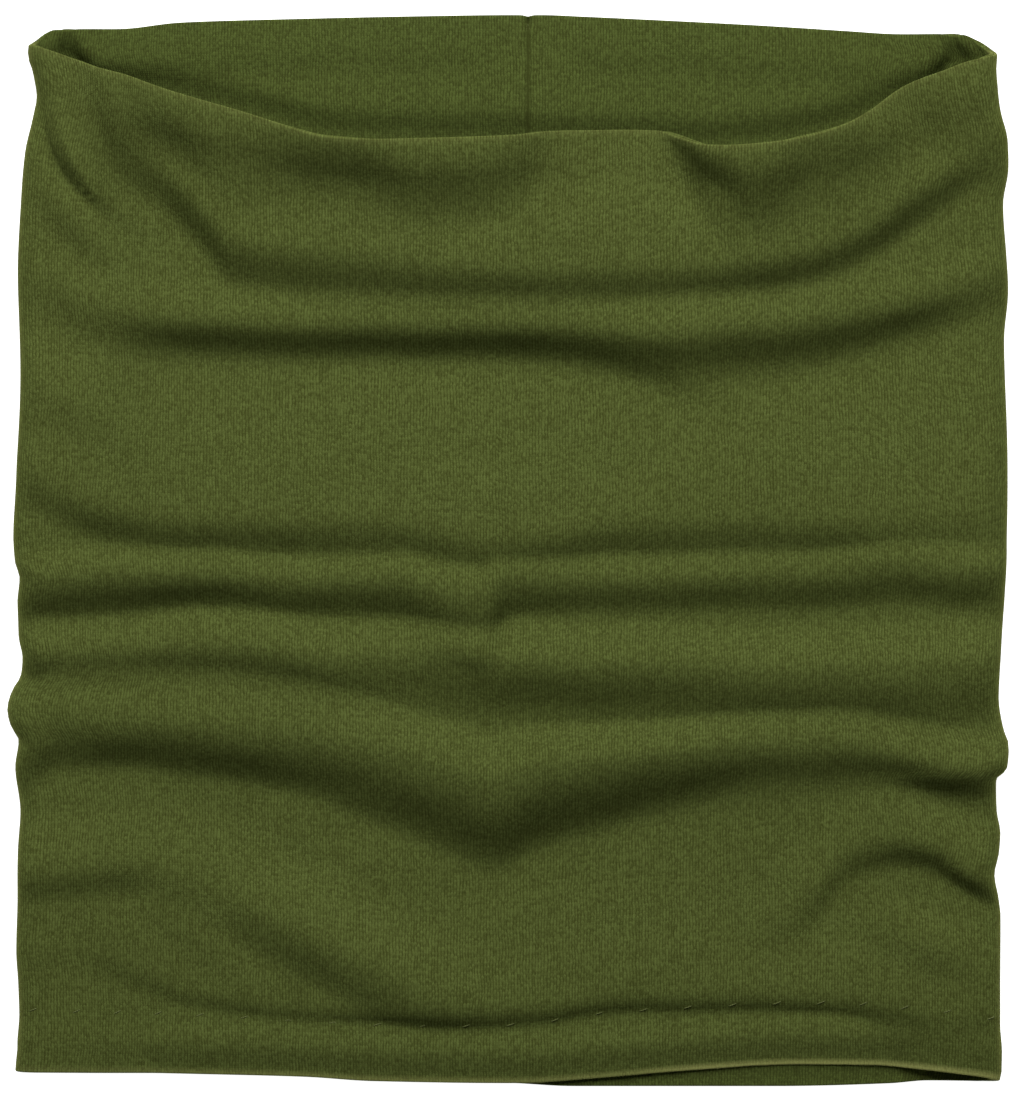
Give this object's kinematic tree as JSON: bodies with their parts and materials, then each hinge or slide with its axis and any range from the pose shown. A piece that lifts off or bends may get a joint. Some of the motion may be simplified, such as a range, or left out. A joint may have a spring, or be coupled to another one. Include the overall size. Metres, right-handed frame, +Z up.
{
  "type": "neck gaiter",
  "caption": "Double-layer knitted tube for the neck, laid flat, open at both ends, with turned edges and a slip-stitched hem.",
  "frame": {"origin": "centre of the laid tube's underside, on the surface that its back wall rests on", "axes": "+X across the tube, +Y along it towards the mouth, +Z up, out of the front wall"},
  "size_m": [0.25, 0.27, 0.018],
  "materials": {
    "shell_jersey": "fine matt wool jersey, olive green, knit wales running from mouth to hem",
    "lining_jersey": "the same fine matt wool jersey, right side inwards",
    "sewing_thread": "spun polyester sewing thread, a little lighter than the jersey"
  },
  "bodies": {
    "root": {"outer_shell": "shell_jersey", "lining": "lining_jersey", "shell_back_seam_needle_thread": "sewing_thread", "shell_back_seam_looper_thread": "sewing_thread", "lining_back_seam_needle_thread": "sewing_thread", "lining_back_seam_looper_thread": "sewing_thread", "mouth_seam_needle_thread": "sewing_thread", "mouth_seam_looper_thread": "sewing_thread", "hem_seam_needle_thread": "sewing_thread", "hem_seam_looper_thread": "sewing_thread", "hem_slip_stitches": "sewing_thread"}
  },
  "joints": []
}
